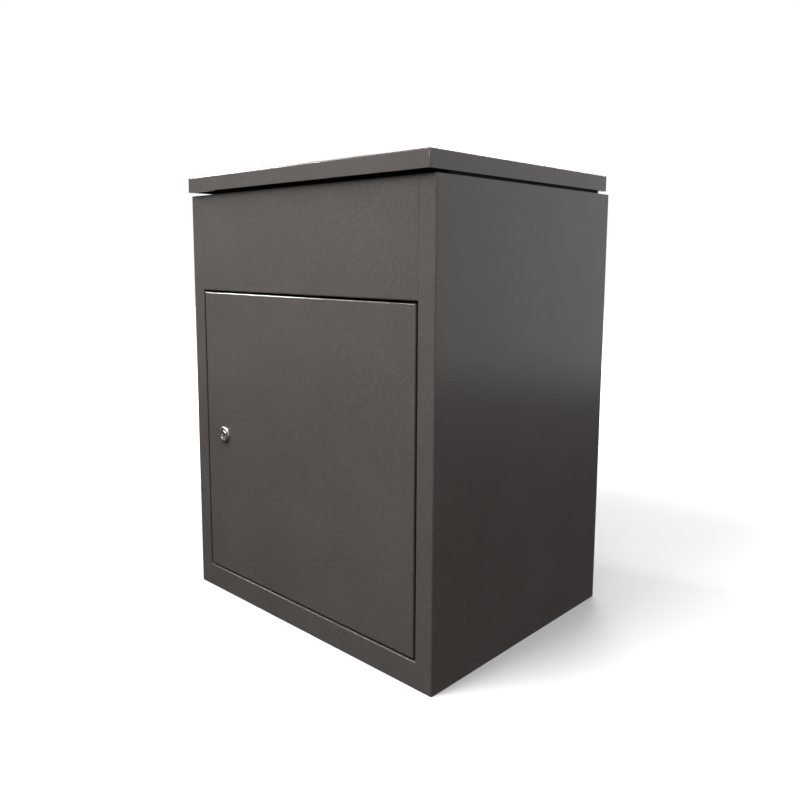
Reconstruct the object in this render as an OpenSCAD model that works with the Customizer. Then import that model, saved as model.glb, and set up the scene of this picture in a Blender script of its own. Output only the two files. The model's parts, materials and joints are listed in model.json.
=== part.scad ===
// Free-standing parcel drop box in folded sheet steel.
// The lid turns on a continuous hinge along its rear edge. Two links tie it to a baffle, which lies
// level as a loading floor while the lid is up, and drops the parcel into the locked part below as
// the lid comes down. The door in the front turns on concealed pivots at its right edge.
// X is the width, the front faces -Y, Z is up, and the origin is the middle of the cabinet's base.

/* [Cabinet] */
// Outside width
body_w = 440; // [420:10:480]
// Outside depth, without the lid's overhang
body_d = 347; // [340:1:380]
// Height up to the top edge
body_h = 550; // [540:5:600]
// Thickness of the folded steel sheet
sheet_t = 1.2; // [1:0.1:1.4]
// Outside bend radius at the front corners
bend_r = 2; // [2:0.25:4]
// Outside bend radius of the door, jambs and fascia
edge_r = 1.6; // [1.4:0.1:2]
// Width of the stile on each side of the door
stile_w = 24; // [22:1:32]
// Height of the rail under the door
rail_h = 31; // [28:1:40]
// Height of the fascia above the door
fascia_h = 127; // [120:1:130]

/* [Lid] */
// How far the lid is set in from each side of the cabinet
lid_inset = 3; // [0:0.5:4]
// Overhang past the front of the cabinet
lid_overhang = 7; // [4:1:15]
// Height of the lid's skirt
lid_h = 19.8; // [19:0.1:26]
// Open gap between the cabinet's top edge and the lid's skirt
lid_gap = 4.4; // [4.4:0.1:6]
// How far the lid opens, in degrees
lid_swing = 75; // [60:5:75]

/* [Rain collar] */
// Distance of the collar from the sides and the back
collar_inset = 10; // [9.5:0.5:12]
// Distance of the collar from the front
collar_front = 30; // [24:1:40]
// Height of the collar above the cabinet's top edge
collar_rise = 17; // [14:1:18]

/* [Door] */
// Gap at the door's left and right edges
door_gap = 2.7; // [2:0.1:3]
// Gap over and under the door
door_gap_z = 2.7; // [2:0.1:3]
// Depth of the door pan
door_t = 18; // [16:1:20]
// Radius of the pivot pins
pivot_r = 2.5; // [2:0.25:2.5]

/* [Lock] */
// Distance of the lock from the door's left edge
lock_inset = 39; // [34:1:42]
// Height of the lock above the base
lock_z = 227; // [180:1:260]
// Radius of the chrome bezel
bezel_r = 11; // [10.5:0.5:13]
// Length of the cam from the lock's axis
cam_l = 40; // [36:1:41]

/* [Baffle and links] */
// Gap between the level baffle's front edge and the header
baffle_gap = 3; // [2:1:12]
// Height of the baffle's rod above the header
baffle_rise = 4; // [3:1:6]
// Length of the equal cranks on the lid and on the baffle
crank_l = 60; // [56:1:64]
// Radius of the baffle's rod
rod_r = 4; // [3.5:0.5:5]

/* [Fixing holes] */
// Radius of the anchor holes in the base and the back
anchor_r = 4.25; // [3.5:0.25:6]
// Spacing of the base holes across the width
base_hole_x = 320; // [280:10:340]
// Spacing of the base holes across the depth
base_hole_y = 220; // [180:10:240]
// Spacing of the back holes across the width
back_hole_x = 300; // [260:10:320]
// Spacing of the back holes up the height
back_hole_z = 400; // [380:10:400]

/* [Hidden] */
$fn = 64;

paint = [0.37, 0.35, 0.33];
zinc = [0.72, 0.73, 0.74];
chrome = [0.86, 0.87, 0.88];
rubber = [0.07, 0.07, 0.07];

// Radial clearance of a running fit, and of a piece that is fixed in its hole
run_fit = 0.05;
// Seam between two sheets that lie side by side
seam_gap = 0.1;
// Edge radius where the jamb lies along the fascia
seam_r = 0.4;
// Clearance between pieces that pass each other
pass_gap = 1;
// Overlap of a cutter past the face it cuts
cut = 1;

// Planes of the cabinet
half_w = body_w / 2;
front_y = -body_d / 2;
back_y = body_d / 2;
wall_in = half_w - sheet_t;
front_in = front_y + sheet_t;
back_in = back_y - sheet_t;
flange_top = body_h - sheet_t;
jamb_x = half_w - stile_w;
jamb_d = 22;
jamb_top = flange_top - 0.2;
rear_flange = 20;
header_z = body_h - fascia_h;
header_d = 25;

// Collar around the loading opening
collar_x = half_w - collar_inset;
collar_y0 = front_y + collar_front;
collar_y1 = back_y - collar_inset;
collar_drop = 10;
collar_top = body_h + collar_rise;
shelf_x = collar_x - 0.1;

// Lid and its hinge
lid_x = half_w - lid_inset;
lid_y0 = front_y - lid_overhang;
lid_y1 = back_y - 1;
lid_z0 = body_h + lid_gap;
lid_z1 = lid_z0 + lid_h;
lid_under = lid_z1 - sheet_t;
lip_w = 6;
hinge_y = back_y - 3;
hinge_z = body_h + 2.4;
hinge_half = half_w - 20;
knuckles = 16;
knuckle_l = 2 * hinge_half / knuckles;
knuckle_r = 2.1;
knuckle_gap = 0.4;
hinge_pin_r = 1.2;
leaf_t = 1;
leaf_clear = 2.6;

// Door
door_x = jamb_x - door_gap;
door_z0 = rail_h + door_gap_z;
door_z1 = header_z - door_gap_z;
door_back = front_y + door_t;
door_return = 12;
pivot_x = door_x - 6;
pivot_y = front_y + 5;
pivot_clear_r = pivot_r + 0.4;
block_h = 12;
bracket_h = 8;

// Lock
lock_x = lock_inset - door_x;
lock_body_r = 9;
lock_core_r = 6;
lock_end = front_y + 24;
cam_t = 2.5;
cam_front = lock_end + 0.5;
drive_w = 7;
cam_screw_r = 2;

// Strip on the left jamb that the door closes against and the cam turns behind
strip_y = door_back + 2;
strip_w = 12;
strip_end = 29;

// Baffle, hanging at rest, and its two links
half_swing = lid_swing / 2;
baffle_y = back_y - 15;
baffle_z = header_z + baffle_rise;
baffle_l = baffle_y - front_y - header_d - baffle_gap;
baffle_x = jamb_x + 2;
trim_t = 4;
plate_l = baffle_l - trim_t;
floor_z = rod_r + 1;
flange_z = -9;
pin_r = 3;
ear_t = 2;
ear_x = baffle_x;
link_x = ear_x + ear_t + pass_gap;
link_t = 2;
web_x = link_x + link_t + pass_gap;
web_t = 2;
crank = [-crank_l * cos(half_swing), -crank_l * sin(half_swing)];
crank_up = [crank.x, -crank.y];
pin_a = [hinge_y + crank.x, hinge_z + crank.y];
pin_b = [baffle_y + crank.x, baffle_z + crank.y];
bush_x = web_x + web_t;
stud_r = 2.5;
stud_dz = 16;
bush_flange_t = 3;
clip_t = 1;
clip_gap = 0.3;
pin_head_t = 2;

// ---------------------------------------------------------------- helpers

// Block between two opposite corners
module box(lo, hi) {
    translate(lo) cube(hi - lo);
}

// Rectangle between two corners, with a radius at [low-low, high-low, high-high, low-high]
module soft_rect(lo, hi, radii) {
    corners = [lo, [hi.x, lo.y], hi, [lo.x, hi.y]];
    inward = [[1, 1], [-1, 1], [-1, -1], [1, -1]];
    difference() {
        translate(lo) square(hi - lo);
        for (i = [0:3]) {
            if (radii[i] > 0) {
                translate(corners[i] + inward[i] * (radii[i] - cut) / 2) difference() {
                    square(radii[i] + cut, center = true);
                    translate(inward[i] * (radii[i] + cut) / 2) circle(radii[i]);
                }
            }
        }
    }
}

// Profile drawn in Y and Z, run from x0 to x1
module along_x(x0, x1) {
    translate([x0, 0, 0]) rotate([90, 0, 90]) linear_extrude(x1 - x0) children();
}

// Profile drawn in X and Z, run from y0 to y1
module along_y(y0, y1) {
    translate([0, y1, 0]) rotate([90, 0, 0]) linear_extrude(y1 - y0) children();
}

// Profile drawn in X and Y, run from z0 to z1
module along_z(z0, z1) {
    translate([0, 0, z0]) linear_extrude(z1 - z0) children();
}

// Round bar along X at a point in Y and Z
module rod_x(at, r, x0, x1) {
    along_x(x0, x1) translate(at) circle(r);
}

// Round bar along Y at a point in X and Z
module rod_y(at, r, y0, y1) {
    along_y(y0, y1) translate(at) circle(r);
}

// Round bar along Z at a point in X and Y
module rod_z(at, r, z0, z1) {
    along_z(z0, z1) translate(at) circle(r);
}

// Children as drawn for the right side, or mirrored to the left
module on_side(side) {
    mirror([side < 0 ? 1 : 0, 0, 0]) children();
}

module both_sides() {
    on_side(1) children();
    on_side(-1) children();
}

// Children drawn about the rod with the baffle level, turned to where it hangs at rest
module at_baffle() {
    translate([0, baffle_y, baffle_z]) rotate([lid_swing, 0, 0]) children();
}

// ---------------------------------------------------------------- cabinet

// Plan section of a side panel: wall, rear flange, stile, and a jamb with the given edge radius
module side_profile(with_jamb, jamb_r = 0) {
    inner_x = with_jamb ? jamb_x + sheet_t : jamb_x - cut;
    difference() {
        soft_rect([jamb_x, front_y], [half_w, back_in], [jamb_r, bend_r, 0, 0]);
        soft_rect([inner_x, front_in], [wall_in, back_in - sheet_t],
            [max(0, jamb_r - sheet_t), bend_r - sheet_t, 0, 0]);
        translate([jamb_x - cut, front_y + jamb_d])
            square([half_w - rear_flange - jamb_x + cut, body_d]);
    }
}

module side_panel(side) {
    color(paint) on_side(side) {
        along_z(0, rail_h) side_profile(false);
        along_z(rail_h, header_z) side_profile(true, edge_r);
        along_z(header_z, jamb_top) side_profile(true, seam_r);
        difference() {
            along_z(jamb_top, body_h) side_profile(false);
            box([0, back_in - sheet_t - cut, jamb_top - cut], [wall_in, back_y, body_h + cut]);
        }
        box([collar_x, front_in, flange_top], [wall_in, back_in - sheet_t, body_h]);
    }
}

module side_panel_left() {
    side_panel(-1);
}

module side_panel_right() {
    side_panel(1);
}

module back_panel() {
    edge_x = half_w - 4 * seam_gap;
    hole_z0 = 80;
    color(paint) difference() {
        union() {
            box([-edge_x, back_in, 0], [edge_x, back_y, body_h]);
            box([-shelf_x, collar_y1, flange_top], [shelf_x, back_in, body_h]);
        }
        for (x = [-1, 1], z = [hole_z0, hole_z0 + back_hole_z]) {
            rod_y([x * back_hole_x / 2, z], anchor_r, back_in - cut, back_y + cut);
        }
    }
}

module base_pan() {
    plate_t = 1.5;
    pan_h = 20;
    rear = back_in - sheet_t;
    color(paint) difference() {
        box([-wall_in, front_in, 0], [wall_in, rear, pan_h]);
        box([plate_t - wall_in, front_in + plate_t, plate_t],
            [wall_in - plate_t, rear - plate_t, pan_h + cut]);
        for (x = [-1, 1], y = [-1, 1]) {
            rod_z([x * base_hole_x / 2, y * base_hole_y / 2], anchor_r, -cut, plate_t + cut);
        }
    }
}

module fascia_panel() {
    half = jamb_x - seam_gap;
    return_d = 12;
    return_y = front_y + return_d;
    color(paint) difference() {
        union() {
            intersection() {
                along_z(header_z, body_h)
                    soft_rect([-half, front_y], [half, return_y], [seam_r, seam_r, 0, 0]);
                along_x(-half, half)
                    soft_rect([front_y, header_z], [return_y, body_h], [edge_r, 0, 0, 0]);
            }
            box([-half, return_y, header_z], [half, front_y + header_d, header_z + sheet_t]);
            box([-half, return_y, flange_top], [half, collar_y0, body_h]);
            both_sides() box([half, front_in, flange_top], [shelf_x, collar_y0, body_h]);
        }
        box([sheet_t - half, front_in, header_z + sheet_t],
            [half - sheet_t, return_y + cut, flange_top]);
        rod_z([pivot_x, pivot_y], pivot_clear_r, header_z - cut, header_z + sheet_t + cut);
    }
}

module bottom_rail() {
    rear = front_y + jamb_d;
    lip_h = 13;
    color(paint) difference() {
        along_x(-jamb_x, jamb_x) difference() {
            soft_rect([front_y, 0], [rear, rail_h], [0, 0, 0, edge_r]);
            soft_rect([front_in, -cut], [rear - sheet_t, rail_h - sheet_t],
                [0, 0, 0, edge_r - sheet_t]);
            translate([rear - sheet_t - cut, -cut]) square([sheet_t + 2 * cut, rail_h - lip_h + cut]);
        }
        rod_z([pivot_x, pivot_y], pivot_clear_r, rail_h - sheet_t - cut, rail_h + cut);
    }
}

module rain_collar() {
    color(paint) difference() {
        box([-collar_x, collar_y0, body_h - collar_drop], [collar_x, collar_y1, collar_top]);
        box([sheet_t - collar_x, collar_y0 + sheet_t, body_h - collar_drop - cut],
            [collar_x - sheet_t, collar_y1 - sheet_t, collar_top + cut]);
    }
}

module stop_strip() {
    color(paint) box([-jamb_x, strip_y, rail_h + strip_end],
        [strip_w - jamb_x, strip_y + sheet_t, header_z - strip_end]);
}

module stop_buffers() {
    buffer_r = 4.5;
    buffer_t = 1.8;
    color(rubber) for (z = [rail_h + 2 * strip_end, header_z - 2 * strip_end]) {
        rod_y([strip_w / 2 - jamb_x, z], buffer_r, strip_y - buffer_t, strip_y);
    }
}

// Knuckles of one hinge leaf, every second one from the first, each with a tab to its leaf
module knuckle_row(first) {
    for (i = [first:2:knuckles - 1]) {
        translate([i * knuckle_l - hinge_half + knuckle_gap / 2, 0, 0]) {
            rod_x([hinge_y, hinge_z], knuckle_r, 0, knuckle_l - knuckle_gap);
            children();
        }
    }
}

module hinge_leaf_cabinet() {
    tab_l = knuckle_l - knuckle_gap;
    collar_gap = 0.5;
    color(zinc) difference() {
        union() {
            box([-hinge_half, collar_y1 + collar_gap, body_h],
                [hinge_half, hinge_y - leaf_clear, body_h + leaf_t]);
            knuckle_row(0) box([0, hinge_y - leaf_clear, body_h], [tab_l, hinge_y, body_h + leaf_t]);
        }
        rod_x([hinge_y, hinge_z], hinge_pin_r + run_fit, -hinge_half - cut, hinge_half + cut);
    }
}

module hinge_pin() {
    end = hinge_half - 1;
    color(zinc) rod_x([hinge_y, hinge_z], hinge_pin_r, -end, end);
}

module pivot_bracket(z0) {
    wide_in = 11;
    wide_out = 6;
    deep = 19;
    color(zinc) difference() {
        box([pivot_x - wide_in, front_in, z0], [pivot_x + wide_out, front_y + deep, z0 + bracket_h]);
        rod_z([pivot_x, pivot_y], pivot_r + run_fit, z0 - cut, z0 + bracket_h + cut);
    }
}

module pivot_bracket_bottom() {
    pivot_bracket(rail_h - sheet_t - bracket_h);
}

module pivot_bracket_top() {
    pivot_bracket(header_z + sheet_t);
}

// Flanged bush on the side wall that carries one end of the baffle's rod
module baffle_bearing(side) {
    plate = [12, 24];
    stud_clear = 0.25;
    color(zinc) on_side(side) difference() {
        union() {
            box([wall_in - bush_flange_t, baffle_y - plate.x, baffle_z - plate.y],
                [wall_in, baffle_y + plate.x, baffle_z + plate.y]);
            rod_x([baffle_y, baffle_z], 2 * rod_r, bush_x, wall_in - bush_flange_t);
        }
        rod_x([baffle_y, baffle_z], rod_r + run_fit, bush_x - cut, wall_in + cut);
        for (s = [-1, 1]) {
            rod_x([baffle_y, baffle_z + s * stud_dz], stud_r + stud_clear,
                wall_in - bush_flange_t - cut, wall_in + cut);
        }
    }
}

module baffle_bearing_left() {
    baffle_bearing(-1);
}

module baffle_bearing_right() {
    baffle_bearing(1);
}

module bearing_studs() {
    stud_l = 9;
    color(zinc) both_sides() for (s = [-1, 1]) {
        rod_x([baffle_y, baffle_z + s * stud_dz], stud_r, wall_in - stud_l, wall_in);
    }
}

module bearing_nuts() {
    nut_r = 4.6;
    nut_t = 4;
    seat = wall_in - bush_flange_t;
    color(zinc) both_sides() for (s = [-1, 1]) {
        along_x(seat - nut_t, seat) translate([baffle_y, baffle_z + s * stud_dz]) difference() {
            circle(nut_r, $fn = 6);
            circle(stud_r + run_fit);
        }
    }
}

// ---------------------------------------------------------------- lid

// The lid's tray as a block with soft edges, each face moved in by the inset
module lid_block(inset, z0) {
    r = bend_r - inset;
    lo = [inset - lid_x, lid_y0 + inset];
    hi = [lid_x - inset, lid_y1 - inset];
    top = lid_z1 - inset;
    intersection() {
        along_z(z0, top) soft_rect(lo, hi, [r, r, r, r]);
        along_y(lo.y, hi.y) soft_rect([lo.x, z0], [hi.x, top], [0, 0, r, r]);
        along_x(lo.x, hi.x) soft_rect([lo.y, z0], [hi.y, top], [0, 0, r, r]);
    }
}

module lid_shell() {
    rear_lift = 0.6;
    color(paint) difference() {
        lid_block(0, lid_z0);
        lid_block(sheet_t, lid_z0 + sheet_t);
        box([lip_w - lid_x, lid_y0 + lip_w, lid_z0 - cut],
            [lid_x - lip_w, lid_y1 - sheet_t, lid_z0 + 2 * sheet_t]);
        box([lip_w - lid_x, lid_y1 - sheet_t - cut, lid_z0 - cut],
            [lid_x - lip_w, lid_y1 + cut, lid_z0 + rear_lift]);
    }
}

// Hat channels across the underside of the lid
module lid_stiffeners() {
    half = collar_x - 12;
    front_channel = front_y + 93.5;
    rear_channel = back_y - 133.5;
    channel_w = 40;
    channel_h = 12;
    foot_w = 10;
    color(paint) for (y = [front_channel, rear_channel]) {
        along_x(-half, half) translate([y, lid_under]) {
            difference() {
                translate([-channel_w / 2, -channel_h]) square([channel_w, channel_h]);
                translate([sheet_t - channel_w / 2, sheet_t - channel_h])
                    square([channel_w - 2 * sheet_t, channel_h]);
            }
            for (s = [-1, 1]) {
                translate([s * (channel_w + foot_w) / 2 - foot_w / 2, -sheet_t])
                    square([foot_w, sheet_t]);
            }
        }
    }
}

// Foam ring that closes on the collar's top edge
module lid_seal() {
    side = 2.2;
    inside = 3.3;
    color(rubber) difference() {
        box([-collar_x - side, collar_y0 - side, collar_top],
            [collar_x + side, collar_y1 + side, lid_under]);
        box([inside - collar_x, collar_y0 + inside, collar_top - cut],
            [collar_x - inside, collar_y1 - inside, lid_under + cut]);
    }
}

module hinge_leaf_lid() {
    tab_l = knuckle_l - knuckle_gap;
    leaf_y = lid_y1 - sheet_t - leaf_t;
    leaf_z = hinge_z + leaf_clear + knuckle_gap;
    leaf_top = lid_under - bend_r;
    color(zinc) difference() {
        union() {
            box([-hinge_half, leaf_y, leaf_z], [hinge_half, leaf_y + leaf_t, leaf_top]);
            knuckle_row(1) box([0, leaf_y, hinge_z], [tab_l, leaf_y + leaf_t, leaf_z]);
        }
        rod_x([hinge_y, hinge_z], hinge_pin_r + run_fit, -hinge_half - cut, hinge_half + cut);
    }
}

module lid_bracket(side) {
    foot_w = 14;
    foot_x = web_x - foot_w;
    foot = [hinge_y - 64, hinge_y - 20];
    boss_r = 8;
    color(zinc) on_side(side) difference() {
        union() {
            box([foot_x, foot[0], lid_under - web_t], [web_x + web_t, foot[1], lid_under]);
            along_x(web_x, web_x + web_t) {
                polygon([
                    [foot[0], lid_under], pin_a - [boss_r, 0],
                    pin_a + [boss_r, 0], [foot[1], lid_under]
                ]);
                translate(pin_a) circle(boss_r);
            }
        }
        rod_x(pin_a, pin_r + run_fit, web_x - cut, web_x + web_t + cut);
    }
}

module lid_bracket_left() {
    lid_bracket(-1);
}

module lid_bracket_right() {
    lid_bracket(1);
}

// Headed pin along X from the head's outer face to the plain end
module headed_pin(at, head, end) {
    collar = 2;
    along = head < end ? 1 : -1;
    rod_x(at, pin_r, min(head, end), max(head, end));
    head_in = head + along * pin_head_t;
    rod_x(at, pin_r + collar, min(head, head_in), max(head, head_in));
}

// Spring clip around the plain end of a pin
module pin_clip(at, x0) {
    grip = 2.5;
    along_x(x0, x0 + clip_t) translate(at) difference() {
        circle(pin_r + grip);
        circle(pin_r + run_fit);
    }
}

module link_pins_upper() {
    color(zinc) both_sides() headed_pin(pin_a, web_x + web_t + pin_head_t, link_x - 2 * clip_t);
}

module link_clips_upper() {
    color(zinc) both_sides() pin_clip(pin_a, link_x - clip_gap - clip_t);
}

// ---------------------------------------------------------------- links

// Flat bar from the lid's crank to the baffle's, with play at the lower pin
module link_bar(side) {
    eye_r = 7;
    bar_w = 10;
    run = pin_a - pin_b;
    color(zinc) on_side(side) along_x(link_x, link_x + link_t) difference() {
        union() {
            translate(pin_b) rotate(atan2(run.y, run.x)) translate([0, -bar_w / 2])
                square([norm(run), bar_w]);
            translate(pin_a) circle(eye_r);
            translate(pin_b) circle(eye_r);
        }
        translate(pin_a) circle(pin_r + run_fit);
        translate(pin_b) circle(pin_r + 0.4);
    }
}

module link_left() {
    link_bar(-1);
}

module link_right() {
    link_bar(1);
}

// ---------------------------------------------------------------- baffle

module baffle_plate() {
    tail = 8;
    top = floor_z + sheet_t;
    color(paint) at_baffle() difference() {
        along_y(-plate_l, tail)
            soft_rect([-baffle_x, flange_z], [baffle_x, top], [0, 0, edge_r, edge_r]);
        box([sheet_t - baffle_x, sheet_t - plate_l, flange_z - cut],
            [baffle_x - sheet_t, tail + cut, floor_z]);
        rod_x([0, 0], rod_r + run_fit, -baffle_x - cut, baffle_x + cut);
    }
}

module baffle_rod() {
    end = wall_in - 4;
    color(zinc) at_baffle() rod_x([0, 0], rod_r, -end, end);
}

module baffle_ear(side) {
    boss_r = 8;
    foot = [-85, -15];
    foot_z = flange_z + 2;
    color(zinc) at_baffle() on_side(side) along_x(ear_x, ear_x + ear_t) difference() {
        union() {
            polygon([
                [foot[0], foot_z], [foot[1], foot_z],
                crank_up + [boss_r, 0], crank_up - [boss_r, 0]
            ]);
            translate(crank_up) circle(boss_r);
        }
        translate(crank_up) circle(pin_r + run_fit);
    }
}

module baffle_ear_left() {
    baffle_ear(-1);
}

module baffle_ear_right() {
    baffle_ear(1);
}

module baffle_edge_trim() {
    lap = 0.5;
    lip_r = 1.5;
    color(rubber) at_baffle() along_x(-baffle_x, baffle_x)
        soft_rect([-baffle_l, flange_z - lap], [-plate_l, floor_z + sheet_t + lap], [lip_r, 0, 0, lip_r]);
}

module link_pins_lower() {
    color(zinc) at_baffle() both_sides()
        headed_pin(crank_up, ear_x - pin_head_t, link_x + link_t + clip_gap + 1.5 * clip_t);
}

module link_clips_lower() {
    color(zinc) at_baffle() both_sides() pin_clip(crank_up, link_x + link_t + clip_gap);
}

// Collars that centre the rod between its two bushes
module rod_collars() {
    play = 0.5;
    wall = 3;
    color(zinc) at_baffle() both_sides() along_x(link_x + link_t - play, bush_x - play) difference() {
        circle(rod_r + wall);
        circle(rod_r + run_fit);
    }
}

// ---------------------------------------------------------------- door

module door_shell() {
    inner = door_x - sheet_t;
    window = door_x - door_return;
    color(paint) difference() {
        intersection() {
            along_z(door_z0, door_z1)
                soft_rect([-door_x, front_y], [door_x, door_back], [edge_r, edge_r, 0, 0]);
            along_x(-door_x, door_x)
                soft_rect([front_y, door_z0], [door_back, door_z1], [edge_r, 0, 0, edge_r]);
        }
        box([-inner, front_in, door_z0 + sheet_t], [inner, door_back - sheet_t, door_z1 - sheet_t]);
        box([-window, front_in, door_z0 + door_return],
            [window, door_back + cut, door_z1 - door_return]);
        rod_y([lock_x, lock_z], lock_body_r + 0.1, front_y - cut, front_in + cut);
        rod_z([pivot_x, pivot_y], pivot_r + run_fit, door_z0 - cut, door_z1 + cut);
    }
}

module door_stiffener() {
    half = 18;
    depth = 13;
    end = 10;
    foot_w = 12;
    color(paint) along_z(door_z0 + end, door_z1 - end) {
        difference() {
            translate([-half, front_in]) square([2 * half, depth]);
            translate([sheet_t - half, front_in - cut])
                square([2 * (half - sheet_t), depth - sheet_t + cut]);
        }
        for (s = [-1, 1]) {
            translate([s * (half + foot_w / 2) - foot_w / 2, front_in]) square([foot_w, sheet_t]);
        }
    }
}

// Blocks inside the door's corners that hold the pivot pins
module door_pivot_blocks() {
    wide_in = 7;
    deep = 15;
    color(zinc) for (z = [door_z0 + sheet_t, door_z1 - sheet_t - block_h]) {
        difference() {
            box([pivot_x - wide_in, front_in, z], [door_x - sheet_t, front_y + deep, z + block_h]);
            rod_z([pivot_x, pivot_y], pivot_r + run_fit, z - cut, z + block_h + cut);
        }
    }
}

module door_pivot_pins() {
    inside = sheet_t + block_h;
    outside = sheet_t + bracket_h - 0.5;
    color(zinc) {
        rod_z([pivot_x, pivot_y], pivot_r, rail_h - outside, door_z0 + inside);
        rod_z([pivot_x, pivot_y], pivot_r, door_z1 - inside, header_z + outside);
    }
}

module lock_housing() {
    bezel_t = 3;
    chamfer = 0.8;
    color(chrome) difference() {
        translate([lock_x, 0, lock_z]) rotate([90, 0, 0]) rotate_extrude() polygon([
            [0, -lock_end], [lock_body_r, -lock_end], [lock_body_r, -front_y],
            [bezel_r, -front_y], [bezel_r, bezel_t - chamfer - front_y],
            [bezel_r - chamfer, bezel_t - front_y], [0, bezel_t - front_y]
        ]);
        rod_y([lock_x, lock_z], lock_core_r + run_fit, front_y - bezel_t - cut, lock_end + cut);
    }
}

module lock_nut() {
    nut_r = 12.7;
    nut_t = 3.5;
    color(zinc) along_y(front_in, front_in + nut_t) translate([lock_x, lock_z]) difference() {
        circle(nut_r, $fn = 6);
        circle(lock_body_r + run_fit);
    }
}

module lock_barrel() {
    face_y = front_y - 2.6;
    drive_end = cam_front + cam_t - 0.2;
    keyway = [3.5, 3, 0.9];
    dish_r = 2;
    screw_depth = 8;
    color(chrome) translate([lock_x, 0, lock_z]) difference() {
        union() {
            rod_y([0, 0], lock_core_r, face_y, cam_front);
            box([-drive_w / 2, cam_front, -drive_w / 2], [drive_w / 2, drive_end, drive_w / 2]);
        }
        box([-keyway.x, face_y - cut, -keyway.z], [keyway.x, face_y + keyway.y, keyway.z]);
        rod_y([0, 0], dish_r, face_y - cut, face_y + 1);
        rod_y([0, 0], cam_screw_r + run_fit, cam_front - screw_depth, drive_end + cut);
    }
}

module lock_cam() {
    tip_r = 7;
    hub_r = 9;
    hole_w = drive_w + 0.1;
    color(zinc) along_y(cam_front, cam_front + cam_t) translate([lock_x, lock_z]) difference() {
        union() {
            circle(hub_r);
            translate([0, tip_r - cam_l]) circle(tip_r);
            translate([-tip_r, tip_r - cam_l]) square([2 * tip_r, cam_l - tip_r]);
        }
        square(hole_w, center = true);
    }
}

module cam_screw() {
    head_r = 5;
    head_t = 3;
    socket_r = 2;
    reach = 7;
    head_y = cam_front + cam_t;
    head_end = head_y + head_t;
    color(zinc) {
        rod_y([lock_x, lock_z], cam_screw_r, cam_front - reach, head_y);
        difference() {
            rod_y([lock_x, lock_z], head_r, head_y, head_end);
            along_y(head_y + head_t / 2, head_end + cut) translate([lock_x, lock_z])
                circle(socket_r, $fn = 6);
        }
    }
}

side_panel_left();
side_panel_right();
back_panel();
base_pan();
fascia_panel();
bottom_rail();
rain_collar();
stop_strip();
stop_buffers();
hinge_leaf_cabinet();
hinge_pin();
pivot_bracket_bottom();
pivot_bracket_top();
baffle_bearing_left();
baffle_bearing_right();
bearing_studs();
bearing_nuts();
lid_shell();
lid_stiffeners();
lid_seal();
hinge_leaf_lid();
lid_bracket_left();
lid_bracket_right();
link_pins_upper();
link_clips_upper();
link_left();
link_right();
baffle_plate();
baffle_rod();
baffle_ear_left();
baffle_ear_right();
baffle_edge_trim();
link_pins_lower();
link_clips_lower();
rod_collars();
door_shell();
door_stiffener();
door_pivot_blocks();
door_pivot_pins();
lock_housing();
lock_nut();
lock_barrel();
lock_cam();
cam_screw();
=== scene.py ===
"""Studio scene for the parcel drop box: camera, light, procedural materials and fine pieces.

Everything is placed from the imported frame, in metres. X is the width, the front faces -Y, and
Z is up.
"""

import json
from math import cos, pi, radians, sin

import bmesh
import bpy
from mathutils import Matrix, Vector


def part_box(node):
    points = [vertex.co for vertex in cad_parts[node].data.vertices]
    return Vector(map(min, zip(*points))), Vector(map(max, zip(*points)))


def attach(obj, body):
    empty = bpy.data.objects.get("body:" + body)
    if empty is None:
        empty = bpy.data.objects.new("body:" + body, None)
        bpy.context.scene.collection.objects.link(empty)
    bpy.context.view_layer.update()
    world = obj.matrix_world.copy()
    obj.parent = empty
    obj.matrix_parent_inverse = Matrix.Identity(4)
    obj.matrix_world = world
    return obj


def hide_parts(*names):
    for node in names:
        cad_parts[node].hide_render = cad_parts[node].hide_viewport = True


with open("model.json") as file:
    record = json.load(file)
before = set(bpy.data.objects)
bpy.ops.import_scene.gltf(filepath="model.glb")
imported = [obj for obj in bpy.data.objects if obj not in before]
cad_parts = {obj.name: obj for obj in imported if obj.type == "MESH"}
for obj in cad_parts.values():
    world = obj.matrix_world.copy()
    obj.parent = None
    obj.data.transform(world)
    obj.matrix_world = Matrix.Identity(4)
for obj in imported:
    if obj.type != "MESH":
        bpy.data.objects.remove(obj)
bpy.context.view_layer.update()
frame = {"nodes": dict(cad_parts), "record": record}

NODES = frame["nodes"]
SLOT_OF = {part["node"]: part["material_slot"] for part in frame["record"]["subparts"]}
scene = bpy.context.scene
MM = 0.001


# ---------------------------------------------------------------- camera

BODY_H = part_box("side_panel_right")[1].z
CAMERA_AZIMUTH = radians(43.58)
CAMERA_ELEVATION = radians(7.43)
CAMERA_ROLL = radians(0.21)
CAMERA_DISTANCE = 1.912 * BODY_H
CAMERA_TARGET = Vector((-0.0118 * BODY_H, 0.0, 0.598 * BODY_H))
SENSOR_MM = 36.0
LENS_MM = 34.23
SHIFT = (0.0114, -0.0512)


def make_camera():
    """Camera at the photograph's angle, a little below the level of the lid."""
    back = Vector((
        sin(CAMERA_AZIMUTH) * cos(CAMERA_ELEVATION),
        -cos(CAMERA_AZIMUTH) * cos(CAMERA_ELEVATION),
        sin(CAMERA_ELEVATION),
    ))
    right = Vector((cos(CAMERA_AZIMUTH), sin(CAMERA_AZIMUTH), 0.0))
    up = back.cross(right)
    turn = Matrix.Rotation(CAMERA_ROLL, 3, back)
    axes = Matrix((turn @ right, turn @ up, back)).transposed().to_4x4()
    data = bpy.data.cameras.new("camera")
    data.sensor_width = SENSOR_MM
    data.lens = LENS_MM
    data.shift_x, data.shift_y = SHIFT
    camera = bpy.data.objects.new("camera", data)
    camera.matrix_world = Matrix.Translation(CAMERA_TARGET + CAMERA_DISTANCE * back) @ axes
    scene.collection.objects.link(camera)
    scene.camera = camera


make_camera()

# ---------------------------------------------------------------- floor and light

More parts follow.
